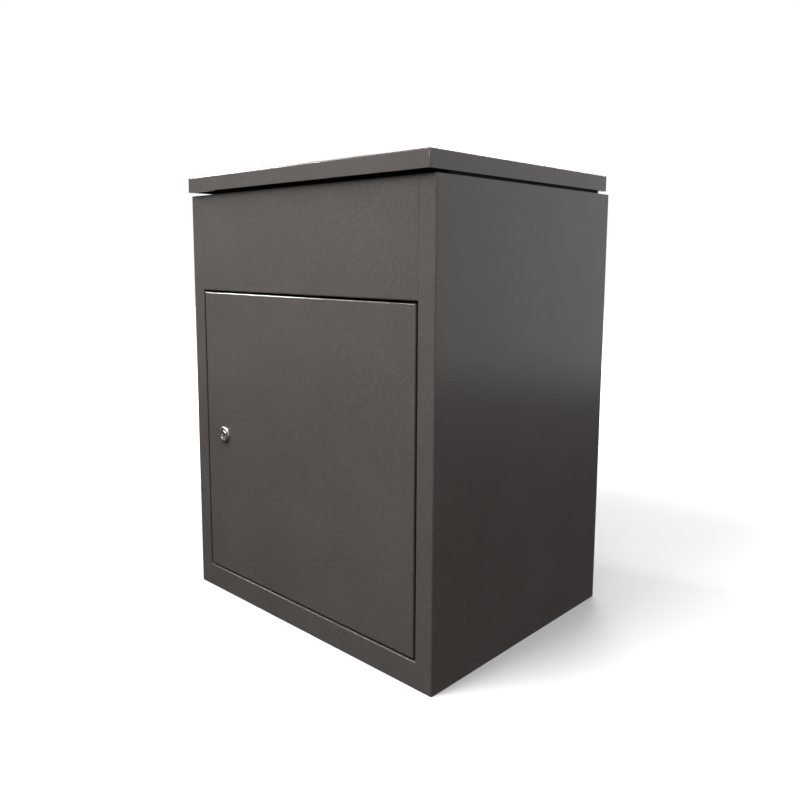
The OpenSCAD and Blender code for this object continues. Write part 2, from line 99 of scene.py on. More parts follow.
FLOOR_SIZE = 12.0
FLOOR_GREY = 0.86
FLOOR_ROUGHNESS = 0.9
# The floor starts to glow into the white surround between these distances from its middle
FLOOR_FADE = (0.5, 1.8)
# Strength of the surround: seen by the camera, and what lights and reflects in the box from
# below the rim, from the front and from behind
SKY_BACKDROP = 1.0
SKY_LOW = 0.03
SKY_FRONT = 0.14
SKY_BACK = 0.61
# The bright surround starts this far below the horizon, as the sine of the angle
RIM_HEIGHT = -0.155
RIM_SOFT = 0.045
BACK_DIRECTION = (0.56, 0.83, 0.0)
# The front's strength changes to the back's between minus and plus this cosine
FACING_SOFT = 0.6

# Softboxes: place, point aimed at, width, height, spread in degrees, strength in watts
SOFTBOXES = {
    "key": ((-0.5, -2.0, 2.5), (0.0, -0.1, 0.35), 1.2, 1.0, 180, 83.0),
    "upper_left": ((-2.2, -0.65, 1.95), (0.0, -0.17, 0.47), 0.8, 0.35, 20, 0.95),
    "top": ((0.0, -0.5, 2.2), (0.0, -0.1, 0.5), 1.6, 1.6, 180, 32.0),
    "back": ((-1.4, 2.4, 1.8), (0.0, 0.1, 0.3), 1.6, 1.4, 180, 45.0),
}


def make_floor():
    """Plain pale floor. It lights and reflects nothing, so the light from below stays low."""
    bm = bmesh.new()
    half = FLOOR_SIZE / 2
    corners = [(-half, -half), (half, -half), (half, half), (-half, half)]
    bm.faces.new([bm.verts.new((x, y, 0.0)) for x, y in corners])
    mesh = bpy.data.meshes.new("floor")
    bm.to_mesh(mesh)
    bm.free()
    floor = bpy.data.objects.new("floor", mesh)
    scene.collection.objects.link(floor)
    mat = bpy.data.materials.new("floor")
    mat.use_nodes = True
    nodes, links = mat.node_tree.nodes, mat.node_tree.links
    shader = nodes["Principled BSDF"]
    shader.inputs["Base Color"].default_value = (FLOOR_GREY, FLOOR_GREY, FLOOR_GREY, 1)
    length = nodes.new("ShaderNodeVectorMath")
    length.operation = "LENGTH"
    links.new(nodes.new("ShaderNodeTexCoord").outputs["Object"], length.inputs[0])
    fade = nodes.new("ShaderNodeMapRange")
    fade.interpolation_type = "SMOOTHSTEP"
    fade.inputs["From Min"].default_value, fade.inputs["From Max"].default_value = FLOOR_FADE
    links.new(length.outputs["Value"], fade.inputs["Value"])
    shader.inputs["Emission Color"].default_value = (1, 1, 1, 1)
    links.new(fade.outputs["Result"], shader.inputs["Emission Strength"])
    shader.inputs["Roughness"].default_value = FLOOR_ROUGHNESS
    shader.inputs["Specular IOR Level"].default_value = 0.0
    mesh.materials.append(mat)
    floor.visible_diffuse = False
    floor.visible_glossy = False


def make_world():
    """Pale surround, dark below and brightest behind the right side. The camera sees it white."""
    world = bpy.data.worlds.new("studio")
    scene.world = world
    world.use_nodes = True
    nodes, links = world.node_tree.nodes, world.node_tree.links
    background = nodes["Background"]
    background.inputs["Color"].default_value = (1, 1, 1, 1)
    coords = nodes.new("ShaderNodeTexCoord")
    split = nodes.new("ShaderNodeSeparateXYZ")
    links.new(coords.outputs["Generated"], split.inputs[0])
    facing = nodes.new("ShaderNodeVectorMath")
    facing.operation = "DOT_PRODUCT"
    facing.inputs[1].default_value = BACK_DIRECTION
    links.new(coords.outputs["Generated"], facing.inputs[0])

    def ramp(source, lo, hi, out_lo, out_hi):
        node = nodes.new("ShaderNodeMapRange")
        node.interpolation_type = "SMOOTHSTEP"
        node.inputs["From Min"].default_value = lo
        node.inputs["From Max"].default_value = hi
        for key, value in (("To Min", out_lo), ("To Max", out_hi)):
            if isinstance(value, float):
                node.inputs[key].default_value = value
            else:
                links.new(value, node.inputs[key])
        links.new(source, node.inputs["Value"])
        return node.outputs["Result"]

    upper = ramp(facing.outputs["Value"], -FACING_SOFT, FACING_SOFT, SKY_FRONT, SKY_BACK)
    rim_lo, rim_hi = RIM_HEIGHT - RIM_SOFT, RIM_HEIGHT + RIM_SOFT
    around = ramp(split.outputs["Z"], rim_lo, rim_hi, SKY_LOW, upper)
    path = nodes.new("ShaderNodeLightPath")
    seen = nodes.new("ShaderNodeMix")
    seen.inputs["B"].default_value = SKY_BACKDROP
    links.new(path.outputs["Is Camera Ray"], seen.inputs["Factor"])
    links.new(around, seen.inputs["A"])
    links.new(seen.outputs["Result"], background.inputs["Strength"])


def make_softbox(name, place, target, width, height, spread, watts):
    """Soft rectangular light aimed at a point, not itself in view."""
    data = bpy.data.lights.new(name, "AREA")
    data.shape = "RECTANGLE"
    data.size, data.size_y = width, height
    data.spread = radians(spread)
    data.energy = watts
    light = bpy.data.objects.new(name, data)
    aim = (Vector(target) - Vector(place)).to_track_quat("-Z", "Y")
    light.matrix_world = Matrix.Translation(place) @ aim.to_matrix().to_4x4()
    light.visible_camera = False
    scene.collection.objects.link(light)


make_floor()
make_world()
for light_name, light_values in SOFTBOXES.items():
    make_softbox(light_name, *light_values)
scene.view_settings.view_transform = "Standard"

# ---------------------------------------------------------------- materials


class Surface:
    """Builds one node material. The texture space is the piece's own, in metres.

    A size is the width of the features in metres, and a tone is linear red, green and blue.
    """

    def __init__(self, name):
        self.mat = bpy.data.materials.new(name)
        self.mat.use_nodes = True
        self.nodes = self.mat.node_tree.nodes
        self.links = self.mat.node_tree.links
        self.shader = self.nodes["Principled BSDF"]
        self.coords = self.nodes.new("ShaderNodeTexCoord").outputs["Object"]
        self.height = None

    def noise(self, size, detail=2.0, rough=0.5, stretch=None):
        """Noise from 0 to 1 whose features are about size metres across."""
        node = self.nodes.new("ShaderNodeTexNoise")
        node.inputs["Scale"].default_value = 1 / size
        node.inputs["Detail"].default_value = detail
        node.inputs["Roughness"].default_value = rough
        source = self.coords
        if stretch:
            scale = self.nodes.new("ShaderNodeVectorMath")
            scale.operation = "MULTIPLY"
            scale.inputs[1].default_value = stretch
            self.links.new(source, scale.inputs[0])
            source = scale.outputs[0]
        self.links.new(source, node.inputs["Vector"])
        return node.outputs["Fac"]

    def span(self, source, lo, hi, out_lo=0.0, out_hi=1.0):
        """Source between lo and hi, stretched to the output span and clamped."""
        node = self.nodes.new("ShaderNodeMapRange")
        node.inputs["From Min"].default_value = lo
        node.inputs["From Max"].default_value = hi
        node.inputs["To Min"].default_value = out_lo
        node.inputs["To Max"].default_value = out_hi
        self.links.new(source, node.inputs["Value"])
        return node.outputs["Result"]

    def math(self, operation, a, b):
        """Result of a maths node on two sockets or plain numbers."""
        node = self.nodes.new("ShaderNodeMath")
        node.operation = operation
        for socket, value in zip(node.inputs, (a, b)):
            if isinstance(value, (int, float)):
                socket.default_value = value
            else:
                self.links.new(value, socket)
        return node.outputs[0]

    def blend(self, factor, a, b):
        """Colour between a and b, which are colours or sockets."""
        node = self.nodes.new("ShaderNodeMix")
        node.data_type = "RGBA"
        self.links.new(factor, node.inputs["Factor"])
        for socket, value in ((node.inputs[6], a), (node.inputs[7], b)):
            if isinstance(value, tuple):
                socket.default_value = (*value, 1)
            else:
                self.links.new(value, socket)
        return node.outputs[2]

    def edges(self, radius):
        """1 on edges sharper than the radius, 0 on flat faces."""
        bend_start, bend_full = 0.02, 0.25
        bevel = self.nodes.new("ShaderNodeBevel")
        bevel.samples = 4
        bevel.inputs["Radius"].default_value = radius
        geometry = self.nodes.new("ShaderNodeNewGeometry")
        dot = self.nodes.new("ShaderNodeVectorMath")
        dot.operation = "DOT_PRODUCT"
        self.links.new(bevel.outputs[0], dot.inputs[0])
        self.links.new(geometry.outputs["Normal"], dot.inputs[1])
        return self.span(dot.outputs["Value"], 1 - bend_start, 1 - bend_full)

    def bump(self, source, depth, strength=1.0):
        """Adds a height in metres under what is already there."""
        node = self.nodes.new("ShaderNodeBump")
        node.inputs["Distance"].default_value = depth
        node.inputs["Strength"].default_value = strength
        self.links.new(source, node.inputs["Height"])
        if self.height:
            self.links.new(self.height, node.inputs["Normal"])
        self.height = node.outputs["Normal"]
        self.links.new(self.height, self.shader.inputs["Normal"])

    def set(self, **values):
        """Plain values and sockets on the shader, by input name with _ for a space."""
        for key, value in values.items():
            socket = self.shader.inputs[key.replace("_", " ")]
            if isinstance(value, tuple):
                socket.default_value = (*value, 1)
            elif isinstance(value, (int, float)):
                socket.default_value = value
            else:
                self.links.new(value, socket)
        return self


# Paint is lighter on edges sharper than this radius: partly rubbed wear, partly painted highlight
EDGE_WEAR_AND_HIGHLIGHT = 0.7 * MM


def powder_coat():
    """Fine-textured powder coat, dark warm grey; its lighter edges are part wear, part painted
    highlight.
    """
    dark, light = (0.089, 0.078, 0.070), (0.103, 0.091, 0.083)
    fleck_tone, worn_and_lit_tone = (0.139, 0.126, 0.114), (0.21, 0.20, 0.185)
    fleck_share, worn_and_lit_share, fleck_rough = 0.75, 0.55, 0.06
    s = Surface("satin_powder_coat")
    tone = s.blend(s.span(s.noise(0.09, 3), 0.3, 0.7), dark, light)
    flecks = s.span(s.noise(0.0021, 3, 0.65), 0.42, 0.70)
    tone = s.blend(s.math("MULTIPLY", flecks, fleck_share), tone, fleck_tone)
    patchy = s.span(s.noise(0.012, 4), 0.45, 0.65)
    # Lighter edges in patches: partly rubbed paint, partly painted highlight on the bends
    wear_and_highlight = s.math("MULTIPLY", s.edges(EDGE_WEAR_AND_HIGHLIGHT), patchy)
    tone = s.blend(s.math("MULTIPLY", wear_and_highlight, worn_and_lit_share), tone, worn_and_lit_tone)
    rough = s.span(s.noise(0.05, 3), 0.3, 0.7, 0.33, 0.41)
    rough = s.math("ADD", rough, s.math("MULTIPLY", flecks, fleck_rough))
    s.bump(s.noise(0.0034, 1), 0.05 * MM, 0.5)
    s.bump(flecks, 0.03 * MM, 0.5)
    s.bump(s.noise(0.0012, 2, 0.6), 0.07 * MM, 0.6)
    return s.set(Base_Color=tone, Roughness=rough, Coat_Weight=0.9, Coat_Roughness=0.12).mat


def shaded_powder_coat():
    """Darker, matt copy of the powder coat on the collar's upstand: its dark tone is painted
    shade.
    """
    # Both tones are the powder coat darkened, as painted shade for the dark under the lid
    dark, light, worn_and_lit_tone = (0.040, 0.037, 0.034), (0.052, 0.048, 0.044), (0.16, 0.15, 0.14)
    worn_and_lit_share = 0.5
    s = Surface("shaded_powder_coat")
    tone = s.blend(s.span(s.noise(0.02, 3), 0.3, 0.7), dark, light)
    # Lighter edges: partly rubbed paint, partly painted highlight
    wear_and_highlight = s.math("MULTIPLY", s.edges(EDGE_WEAR_AND_HIGHLIGHT), s.span(s.noise(0.012, 4), 0.4, 0.6))
    tone = s.blend(s.math("MULTIPLY", wear_and_highlight, worn_and_lit_share), tone, worn_and_lit_tone)
    rough = s.span(s.noise(0.004, 3), 0.3, 0.7, 0.62, 0.74)
    s.bump(s.noise(0.0012, 2, 0.6), 0.07 * MM, 0.6)
    return s.set(Base_Color=tone, Roughness=rough, Specular_IOR_Level=0.3).mat


def zinc_plate():
    """Bright zinc plate with a faint crystalline cloud and drawn lines."""
    dark, light, yellowed = (0.50, 0.51, 0.53), (0.66, 0.665, 0.66), (0.42, 0.40, 0.36)
    drawn_along_x = (0.15, 1.0, 1.0)
    s = Surface("zinc_plate")
    tone = s.blend(s.span(s.noise(0.006, 4, 0.6), 0.3, 0.7), dark, light)
    tone = s.blend(s.span(s.noise(0.03, 3), 0.55, 0.75, 0.0, 0.35), tone, yellowed)
    rough = s.span(s.noise(0.004, 3), 0.3, 0.7, 0.28, 0.44)
    s.bump(s.noise(0.0006, 2, 0.5, drawn_along_x), 0.02 * MM, 0.4)
    return s.set(Base_Color=tone, Roughness=rough, Metallic=1.0).mat


def black_oxide():
    """Oiled black oxide on machined steel."""
    dark, light, worn_and_lit_tone = (0.016, 0.016, 0.017), (0.034, 0.033, 0.034), (0.11, 0.105, 0.10)
    wear_and_highlight_radius, worn_and_lit_share = 0.4 * MM, 0.6
    s = Surface("black_oxide")
    tone = s.blend(s.span(s.noise(0.004, 3), 0.3, 0.7), dark, light)
    # Lighter edges: partly worn steel, partly painted highlight
    wear_and_highlight = s.math("MULTIPLY", s.edges(wear_and_highlight_radius), s.span(s.noise(0.005, 3), 0.4, 0.6))
    tone = s.blend(s.math("MULTIPLY", wear_and_highlight, worn_and_lit_share), tone, worn_and_lit_tone)
    rough = s.span(s.noise(0.002, 3), 0.3, 0.7, 0.36, 0.55)
    s.bump(s.noise(0.0005, 2), 0.02 * MM, 0.4)
    return s.set(Base_Color=tone, Roughness=rough, Metallic=0.6).mat


def chrome_plate():
    """Satin chrome plate, finely uneven, with a few duller spots."""
    clean, dull = (0.80, 0.80, 0.81), (0.66, 0.66, 0.67)
    s = Surface("chrome_plate")
    tone = s.blend(s.span(s.noise(0.003, 3), 0.35, 0.7), clean, dull)
    rough = s.span(s.noise(0.0015, 3), 0.4, 0.75, 0.30, 0.44)
    s.bump(s.noise(0.0004, 2), 0.006 * MM, 0.3)
    return s.set(Base_Color=tone, Roughness=rough, Metallic=1.0).mat


def moulded_rubber():
    """Matt black rubber with a fine bloom."""
    fresh, bloomed = (0.012, 0.012, 0.012), (0.026, 0.025, 0.024)
    s = Surface("moulded_rubber")
    tone = s.blend(s.span(s.noise(0.005, 4), 0.35, 0.7), fresh, bloomed)
    rough = s.span(s.noise(0.003, 3), 0.3, 0.7, 0.62, 0.80)
    s.bump(s.noise(0.0007, 3), 0.05 * MM, 0.5)
    return s.set(Base_Color=tone, Roughness=rough, Specular_IOR_Level=0.35).mat


def cell_foam():
    """Closed-cell foam strip with small open pores on its cut faces."""
    pore_tone, skin_tone = (0.006, 0.006, 0.006), (0.022, 0.021, 0.021)
    s = Surface("cell_foam")
    skin = s.span(s.noise(0.0009, 3, 0.7), 0.35, 0.6)
    tone = s.blend(skin, pore_tone, skin_tone)
    s.bump(skin, 0.25 * MM, 0.8)
    rough = s.span(s.noise(0.002, 2), 0.3, 0.7, 0.85, 0.98)
    return s.set(Base_Color=tone, Roughness=rough, Specular_IOR_Level=0.2).mat


PAINT = powder_coat()
SHADED_PAINT = shaded_powder_coat()
ZINC = zinc_plate()
OXIDE = black_oxide()
CHROME = chrome_plate()
RUBBER = moulded_rubber()
FOAM = cell_foam()
MATERIAL_OF_SLOT = {
    "powder_coat": PAINT,
    "zinc_steel": ZINC,
    "black_steel": OXIDE,
    "lock_chrome": CHROME,
    "rubber": RUBBER,
}
# The collar is the same powder coat; its darker copy here is painted shade
MATERIAL_OF_NODE = {"rain_collar": SHADED_PAINT}

# In the CAD meshes, points this close join, faces this flat become one, and edges sharper than
# this angle are broken by this width
WELD_GAP = 0.002 * MM
FLAT_ANGLE = radians(0.4)
CAD_SHARP_ANGLE = radians(40)
BROKEN_EDGE = 0.22 * MM


def finish_cad_nodes():
    """Gives each CAD node its material and breaks its sharp edges, as deburring and paint do."""
    for name, obj in NODES.items():
        obj.data.materials.clear()
        obj.data.materials.append(MATERIAL_OF_NODE.get(name) or MATERIAL_OF_SLOT[SLOT_OF[name]])
        join = obj.modifiers.new("join_faces", "WELD")
        join.merge_threshold = WELD_GAP
        flat = obj.modifiers.new("flat_faces", "DECIMATE")
        flat.decimate_type = "DISSOLVE"
        flat.angle_limit = FLAT_ANGLE
        edge = obj.modifiers.new("broken_edges", "BEVEL")
        edge.width = BROKEN_EDGE
        edge.segments = 2
        edge.limit_method = "ANGLE"
        edge.angle_limit = CAD_SHARP_ANGLE
        normals = obj.modifiers.new("even_shading", "WEIGHTED_NORMAL")
        normals.weight = 100


finish_cad_nodes()

# ---------------------------------------------------------------- building pieces

# Points round each ring, and the angle from which a piece's edge is sharp
ROUND = 48
SHARP_ANGLE = radians(32)
PX = Vector((1, 0, 0))
PY = Vector((0, 1, 0))
PZ = Vector((0, 0, 1))


def placing(origin, x_axis, y_axis):
    """Where a piece drawn about its own Z axis goes: its start, and where its X and Y point."""
    z_axis = x_axis.cross(y_axis)
    turn = Matrix((x_axis, y_axis, z_axis)).transposed().to_4x4()
    return Matrix.Translation(origin) @ turn @ Matrix.Scale(MM, 4)


def square(half):
    """Square outline, as the distance from its middle at an angle."""
    return lambda angle: half / max(abs(cos(angle)), abs(sin(angle)))


def hexagon(corner):
    """Hexagonal outline with its corners that far from the middle."""
    return lambda angle: corner * cos(pi / 6) / cos(angle % (pi / 3) - pi / 6)


def oblong(half_x, half_y):
    """Rectangular outline."""
    tiny = 1e-6

    def reach(angle):
        return min(half_x / max(abs(cos(angle)), tiny), half_y / max(abs(sin(angle)), tiny))

    return reach


def stack(bm, place, rings, tube=False):
    """Solid from rings about the Z axis of place.

    A ring is its height in mm and its radius in mm or its outline. A tube joins its last ring
    to its first, and other solids are capped.
    """
    loops = []
    for height, reach in rings:
        loop = []
        for i in range(ROUND):
            angle = 2 * pi * i / ROUND
            r = reach(angle) if callable(reach) else reach
            loop.append(bm.verts.new(place @ Vector((r * cos(angle), r * sin(angle), height))))
        loops.append(loop)
    pairs = list(zip(loops, loops[1:]))
    if tube:
        pairs.append((loops[-1], loops[0]))
    for one, two in pairs:
        for i in range(ROUND):
            j = (i + 1) % ROUND
            bm.faces.new((one[i], one[j], two[j], two[i]))
    if not tube:
        bm.faces.new(loops[0])
        bm.faces.new(loops[-1])


def slab(bm, place, outline, thick):
    """Flat plate between two copies of an outline, which is a list of points in mm."""
    low = [bm.verts.new(place @ Vector((x, y, 0))) for x, y in outline]
    high = [bm.verts.new(place @ Vector((x, y, thick))) for x, y in outline]
    count = len(outline)
    for i in range(count):
        j = (i + 1) % count
        bm.faces.new((low[i], low[j], high[j], high[i]))
    bm.faces.new(low)
    bm.faces.new(high)


def add_piece(name, bm, material, body, replaces=(), soften=0.0):
    """Finished piece from a bmesh: it rides on a body and stands for the CAD nodes it replaces."""
    bmesh.ops.recalc_face_normals(bm, faces=bm.faces)
    mesh = bpy.data.meshes.new(name)
    bm.to_mesh(mesh)
    bm.free()
    mesh.shade_smooth()
    mesh.set_sharp_from_angle(angle=SHARP_ANGLE)
    mesh.materials.append(material)
    piece = bpy.data.objects.new(name, mesh)
    scene.collection.objects.link(piece)
    if soften:
        edge = piece.modifiers.new("broken_edges", "BEVEL")
        edge.width = soften
        edge.segments = 2
        edge.limit_method = "ANGLE"
        edge.angle_limit = SHARP_ANGLE
    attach(piece, body)
    if replaces:
        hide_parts(*replaces)
    return piece


def spaced(lo, hi, pitch):
    """Evenly spaced values from lo to hi, about a pitch apart."""
    steps = max(1, round((hi - lo) / pitch))
    return [lo + (hi - lo) * i / steps for i in range(steps + 1)]


def thread(top, bottom, crest, root, pitch):
    """Rings of a fine thread between two heights, from the top down."""
    crest_end, root_start, root_end = 0.3, 0.6, 0.7
    rings = []
    for i in range(int((top - bottom) / pitch)):
        height = top - i * pitch
        rings += [
            (height, crest), (height - crest_end * pitch, crest),
            (height - root_start * pitch, root), (height - root_end * pitch, root),
        ]
    return rings


# ---------------------------------------------------------------- lock

# The lock's heights are in mm, outwards from the face that the door shares with the stiles
LOCK_LO, LOCK_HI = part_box("lock_housing")
BARREL_LO, BARREL_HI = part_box("lock_barrel")
CAM_LO, CAM_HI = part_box("lock_cam")
FRONT_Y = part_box("side_panel_right")[0].y
LOCK_SPOT = Vector(((LOCK_LO.x + LOCK_HI.x) / 2, FRONT_Y, (LOCK_LO.z + LOCK_HI.z) / 2))
LOCK_OUT = placing(LOCK_SPOT, PX, PZ)
BEZEL_R = (LOCK_HI.x - LOCK_LO.x) / 2 / MM
BEZEL_T = (FRONT_Y - LOCK_LO.y) / MM
LOCK_BODY_R = 8.95
LOCK_BODY_END = -(LOCK_HI.y - FRONT_Y) / MM
PLUG_R = (BARREL_HI.x - BARREL_LO.x) / 2 / MM
PLUG_FACE = (FRONT_Y - BARREL_LO.y) / MM
CAM_FRONT = -(CAM_LO.y - FRONT_Y) / MM
CAM_BACK = -(CAM_HI.y - FRONT_Y) / MM


def make_lock_bezel():
    """Chromed body of the cam lock: crowned bezel, threaded barrel and plain bore."""
    bore = PLUG_R + 0.1
    thread_top, thread_depth, thread_pitch = -1.6, 0.5, 1.0
    crown = [
        (BEZEL_T - 1.1, bore), (BEZEL_T - 0.45, bore + 0.35), (BEZEL_T - 0.1, bore + 1.0),
        (BEZEL_T, bore + 1.8), (BEZEL_T - 0.12, bore + 2.7), (BEZEL_T - 0.5, BEZEL_R - 1.1),
        (BEZEL_T - 1.1, BEZEL_R - 0.45), (BEZEL_T - 1.8, BEZEL_R - 0.1), (0.5, BEZEL_R),
        (0.15, BEZEL_R - 0.1), (0.0, BEZEL_R - 0.3), (0.0, LOCK_BODY_R),
    ]
    root = LOCK_BODY_R - thread_depth
    turns = thread(thread_top, LOCK_BODY_END + 1.0, LOCK_BODY_R, root, thread_pitch)
    barrel = [(thread_top + 0.2, LOCK_BODY_R), *turns]
    end = [
        (LOCK_BODY_END + 0.9, LOCK_BODY_R - 0.1), (LOCK_BODY_END, LOCK_BODY_R - 0.8),
        (LOCK_BODY_END, bore),
    ]
    bm = bmesh.new()
    stack(bm, LOCK_OUT, crown + barrel + end, tube=True)
    add_piece("lock_bezel", bm, CHROME, "door", ["lock_housing"])


def make_lock_plug():
    """Plug that turns with the key: keyway in its dished face, square drive and bore behind."""
    key_x, key_z, key_depth = 3.5, 0.9, 9.0
    drive = 3.48
    bore, bore_depth = 2.06, 8.0
    rings = [
        (PLUG_FACE - key_depth, oblong(key_x, key_z)),
        (PLUG_FACE - 0.55, oblong(key_x, key_z)),
        (PLUG_FACE - 0.35, oblong(key_x + 0.25, key_z + 0.25)),
        (PLUG_FACE - 0.25, 4.3), (PLUG_FACE - 0.02, 4.6), (PLUG_FACE, 5.0),
        (PLUG_FACE - 0.12, PLUG_R - 0.35), (PLUG_FACE - 0.45, PLUG_R - 0.05),
        (PLUG_FACE - 0.8, PLUG_R),
        (CAM_FRONT, PLUG_R), (CAM_FRONT, square(drive)),
        (CAM_BACK + 0.3, square(drive)), (CAM_BACK + 0.2, square(drive - 0.1)),
        (CAM_BACK + 0.2, bore), (CAM_FRONT + bore_depth, bore),
    ]
    bm = bmesh.new()
    stack(bm, LOCK_OUT, rings)
    add_piece("lock_plug", bm, CHROME, "lock_barrel", ["lock_barrel"])


def nut_rings(corner, bore, low, high):
    """Chamfered hexagon nut with a countersunk bore."""
    outline = hexagon(corner)
    face = corner * cos(pi / 6) * 1.02
    rim = (high - low) * 0.12
    sink = 0.4

    def cut(angle):
        return min(outline(angle), face)

    return [
        (low, bore + sink), (low, cut), (low + rim, outline), (high - rim, outline),
        (high, cut), (high, bore + sink), (high - sink, bore), (low + sink, bore),
    ]


def make_lock_nut():
    """Hexagon nut that clamps the lock behind the door."""
    lo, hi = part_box("lock_nut")
    corner = (hi.x - lo.x) / 2 / MM
    low, high = -(hi.y - FRONT_Y) / MM, -(lo.y - FRONT_Y) / MM
    bore = LOCK_BODY_R + 0.1
    bm = bmesh.new()
    stack(bm, LOCK_OUT, nut_rings(corner, bore, low, high), tube=True)
    add_piece("lock_hex_nut", bm, ZINC, "door", ["lock_nut"])


def make_cam_screw():
    """Socket-head screw that holds the cam on the square drive."""
    lo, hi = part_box("cam_screw")
    head_r = (hi.x - lo.x) / 2 / MM
    top, tip = -(hi.y - FRONT_Y) / MM, -(lo.y - FRONT_Y) / MM
    shank, socket, socket_depth, socket_chamfer = 2.0, 2.0, 1.6, 0.15
    rings = [
        (top + socket_depth, hexagon(socket)), (top + socket_chamfer, hexagon(socket)),
        (top, hexagon(socket + socket_chamfer)), (top, head_r - 1.0), (top + 0.15, head_r - 0.45),
        (top + 0.7, head_r), (CAM_BACK - 0.2, head_r), (CAM_BACK, head_r - 0.2),
        (CAM_BACK, shank), (tip, shank),
    ]
    bm = bmesh.new()
    stack(bm, LOCK_OUT, rings)
    add_piece("cam_socket_screw", bm, ZINC, "lock_barrel", ["cam_screw"])


# ---------------------------------------------------------------- fixings inside

SIDES = (-1, 1)
SHEET = 1.2 * MM
LINK_INNER_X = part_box("link_right")[0].x / MM
# The lower pins' heads stand on the inner faces of the baffle's cranks
PIN_HEAD_T = 2.0
PIN_INNER_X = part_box("baffle_ear_right")[0].x / MM - PIN_HEAD_T


def across(side, spot):
    """Placing whose Z axis points away from the middle, at a point given for the right side."""
    return placing(Vector((side * spot.x, spot.y, spot.z)), PY * side, PZ)


def make_bearing_fixings():
    """Threaded weld studs through each bush's flange, and their nuts."""
    lo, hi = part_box("bearing_studs")
    nut_lo, nut_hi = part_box("bearing_nuts")
    stud_r = (hi.y - lo.y) / 2
    nut_corner = (nut_hi.y - nut_lo.y) / 2 / MM
    stud_l, nut_t, thread_depth, thread_pitch = 9.0, 4.0, 0.3, 0.8
    r = stud_r / MM - 0.04
    turns = thread(-0.5, 0.6 - stud_l, r, r - thread_depth, thread_pitch)
    stud = [(0, r), *turns, (-stud_l, r - 0.5)]
    nut = nut_rings(nut_corner, r, -nut_t, 0)
    studs, nuts = bmesh.new(), bmesh.new()
    for side in SIDES:
        for z in (lo.z + stud_r, hi.z - stud_r):
            end = Vector((hi.x, (lo.y + hi.y) / 2, z))
            stack(studs, across(side, end), stud)
            seat = Vector((nut_hi.x, end.y, z))
            stack(nuts, across(side, seat), nut, tube=True)
    add_piece("bearing_stud_threads", studs, ZINC, "cabinet", ["bearing_studs"])
    add_piece("bearing_hex_nuts", nuts, ZINC, "cabinet", ["bearing_nuts"])


def clip_outline(shaft):
    """E-shaped retaining clip round a grooved pin, open on one side."""
    outer = shaft + 2.5
    inner, relief = shaft - 0.35, shaft + 1.0
    mouth, prong_half = radians(38), radians(20)
    steps = 40
    outside, inside = [], []
    for i in range(steps + 1):
        angle = mouth + (2 * pi - 2 * mouth) * i / steps
        outside.append((outer * cos(angle), outer * sin(angle)))
        from_prong = min(abs(angle - prong) for prong in (mouth, pi, 2 * pi - mouth))
        reach = inner if from_prong < prong_half else relief
        inside.append((reach * cos(angle), reach * sin(angle)))
    return outside + inside[::-1]


def make_link_pins(place, body, inward_head):
    """Headed pin at one end of each link, with a retaining clip in a groove at its plain end."""
    lo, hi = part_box("link_pins_" + place)
    pin_r, head_r, clip_t, clip_play = 3.0, 5.0, 1.0, 0.1
    groove_depth, chamfer = 0.45, 0.35
    spot = (lo + hi) / 2
    outer = hi.x / MM
    clip_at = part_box("link_clips_" + place)[1].x / MM - clip_t
    if inward_head:
        head, end, way = PIN_INNER_X, outer, 1
    else:
        head, end, way = outer, LINK_INNER_X - 2 * clip_t, -1
    near, far = sorted((abs(clip_at - head), abs(clip_at + clip_t - head)))
    length = abs(end - head)
    pin = [
        (0, head_r - 0.9), (0.25, head_r - 0.3), (0.8, head_r), (1.5, head_r),
        (PIN_HEAD_T, head_r - 0.25), (PIN_HEAD_T, pin_r),
        (near, pin_r), (near, pin_r - groove_depth), (far, pin_r - groove_depth), (far, pin_r),
        (length - chamfer, pin_r), (length, pin_r - chamfer),
    ]
    start = Vector((way * head * MM, spot.y, spot.z))
    clip_start = Vector(((clip_at + clip_play) * MM, spot.y, spot.z))
    pins, clips = bmesh.new(), bmesh.new()
    for side in SIDES:
        stack(pins, across(side * way, start), pin)
        slab(clips, across(side, clip_start), clip_outline(pin_r), clip_t - 2 * clip_play)
    name = "link_{}_" + place
    add_piece(name.format("pin_pair"), pins, ZINC, body, ["link_pins_" + place])
    add_piece(
        name.format("e_clips"), clips, ZINC, body, ["link_clips_" + place],
        soften=0.1 * MM,
    )


def make_buffers():
    """Domed rubber buffers pressed on to the stop strip."""
    lo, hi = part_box("stop_buffers")
    radius = (hi.x - lo.x) / 2 / MM
    tall = (hi.y - lo.y) / MM
    rings = [
        (0, radius - 0.2), (0.3, radius), (0.8, radius - 0.1), (tall - 0.5, radius - 0.9),
        (tall - 0.15, radius - 2.0), (tall, radius - 3.3),
    ]
    bm = bmesh.new()
    for z in (lo.z + radius * MM, hi.z - radius * MM):
        stack(bm, placing(Vector(((lo.x + hi.x) / 2, hi.y, z)), PX, PZ), rings)
    add_piece("stop_buffer_domes", bm, RUBBER, "cabinet", ["stop_buffers"])


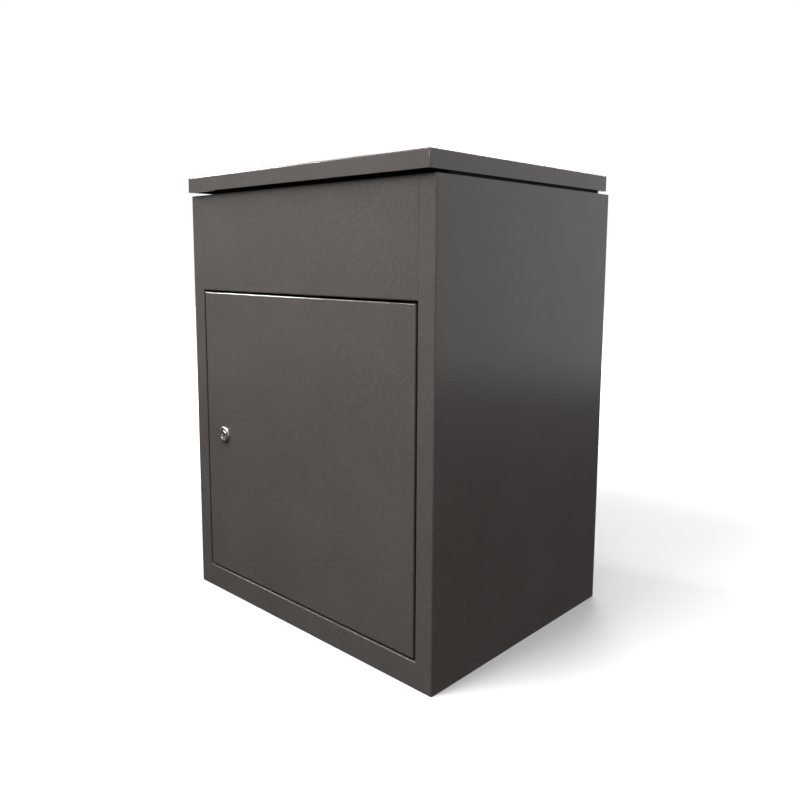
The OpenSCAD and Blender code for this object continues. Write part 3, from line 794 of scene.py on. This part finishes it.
def make_lid_seal():
    """Foam strip glued under the lid as a ring, with rounded lower edges and turned corners."""
    lo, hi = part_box("lid_seal")
    half = Vector(((hi.x - lo.x) / 2, (hi.y - lo.y) / 2))
    centre = (lo + hi) / 2
    wide, turn_r, arc = 5.5, 5.8, 8
    tall = (hi.z - lo.z) / MM
    section = [
        (0.0, tall), (0.0, 1.6), (0.25, 0.75), (0.85, 0.2), (1.7, 0.0),
        (wide - 1.7, 0.0), (wide - 0.85, 0.2), (wide - 0.25, 0.75), (wide, 1.6), (wide, tall),
    ]
    bm = bmesh.new()
    loops = []
    for inset, height in section:
        radius = (turn_r - inset) * MM
        loop = []
        for quarter, (sx, sy) in enumerate(((1, 1), (-1, 1), (-1, -1), (1, -1))):
            mid = Vector((
                centre.x + sx * (half.x - turn_r * MM),
                centre.y + sy * (half.y - turn_r * MM),
            ))
            for i in range(arc + 1):
                angle = pi / 2 * (quarter + i / arc)
                loop.append(bm.verts.new((
                    mid.x + radius * cos(angle), mid.y + radius * sin(angle), lo.z + height * MM,
                )))
        loops.append(loop)
    count = len(loops[0])
    for one, two in zip(loops, loops[1:] + loops[:1]):
        for i in range(count):
            j = (i + 1) % count
            bm.faces.new((one[i], one[j], two[j], two[i]))
    seal = add_piece("lid_foam_seal", bm, FOAM, "lid", ["lid_seal"])


# In mm: how far inside the sheet rivet heads and weld prints start, and a print's radius
SUNK = 0.3
WELD_R = 2.8


def dot_rings(radius, tall):
    """Low round head of a rivet, which starts a little inside the sheet."""
    return [
        (-SUNK, radius), (0.0, radius), (0.45 * tall, 0.92 * radius), (0.8 * tall, 0.7 * radius),
        (0.97 * tall, 0.4 * radius), (tall, 0.15 * radius),
    ]


def weld_rings():
    """Print that a spot welder's tip leaves: a flat dish in a low raised rim."""
    rim, dish = 0.14, 0.03
    return [
        (-SUNK, WELD_R), (0.0, WELD_R), (rim, 0.92 * WELD_R), (rim, 0.84 * WELD_R),
        (dish, 0.7 * WELD_R),
    ]


def make_hinge_rivets():
    """Rows of rivets through both leaves of the continuous hinge."""
    low, high = bmesh.new(), bmesh.new()
    leaf_lo, leaf_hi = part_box("hinge_leaf_cabinet")
    leaf_t, knuckle_clear, margin, pitch = 1.0 * MM, 4.7 * MM, 25 * MM, 50 * MM
    upper_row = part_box("hinge_leaf_lid")[1].z - 7 * MM
    face_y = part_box("lid_shell")[1].y - SHEET - leaf_t
    for x in spaced(leaf_lo.x + margin, leaf_hi.x - margin, pitch):
        spot = Vector((x, (leaf_lo.y + leaf_hi.y - knuckle_clear) / 2, leaf_lo.z + leaf_t))
        stack(low, placing(spot, PX, PY), dot_rings(1.3, 0.6))
        stack(high, placing(Vector((x, face_y, upper_row)), PX, PZ), dot_rings(1.8, 0.8))
    add_piece("hinge_rivets_lower", low, ZINC, "cabinet")
    add_piece("hinge_rivets_upper", high, ZINC, "lid")


def make_spot_welds():
    """Prints of the spot welds of the door's and lid's channels and of the base pan."""
    pitch, margin, base_margin, below_edge = 55 * MM, 20 * MM, 35 * MM, 9 * MM
    door, lid, cabinet = bmesh.new(), bmesh.new(), bmesh.new()
    lo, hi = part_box("door_stiffener")
    foot = 6 * MM
    for x in (lo.x + foot, hi.x - foot):
        for z in spaced(lo.z + margin, hi.z - margin, pitch):
            stack(door, placing(Vector((x, lo.y + SHEET, z)), PX, -PZ), weld_rings())
    lo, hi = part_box("lid_stiffeners")
    foot, wide = 5 * MM, 60 * MM
    for y in (lo.y + foot, lo.y + wide - foot, hi.y - wide + foot, hi.y - foot):
        for x in spaced(lo.x + margin, hi.x - margin, pitch):
            stack(lid, placing(Vector((x, y, hi.z - SHEET)), PX, -PY), weld_rings())
    lo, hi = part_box("base_pan")
    wall = 1.5 * MM
    for y in spaced(lo.y + base_margin, hi.y - base_margin, pitch):
        for side in SIDES:
            inner = Vector((side * (hi.x - wall), y, hi.z - below_edge))
            stack(cabinet, placing(inner, PY * -side, PZ), weld_rings())
    add_piece("door_spot_welds", door, PAINT, "door")
    add_piece("lid_spot_welds", lid, PAINT, "lid")
    add_piece("base_spot_welds", cabinet, PAINT, "cabinet")


make_lock_bezel()
make_lock_plug()
make_lock_nut()
make_cam_screw()
make_bearing_fixings()
make_link_pins("upper", "lid", inward_head=False)
make_link_pins("lower", "baffle", inward_head=True)
make_buffers()
make_lid_seal()
make_hinge_rivets()
make_spot_welds()
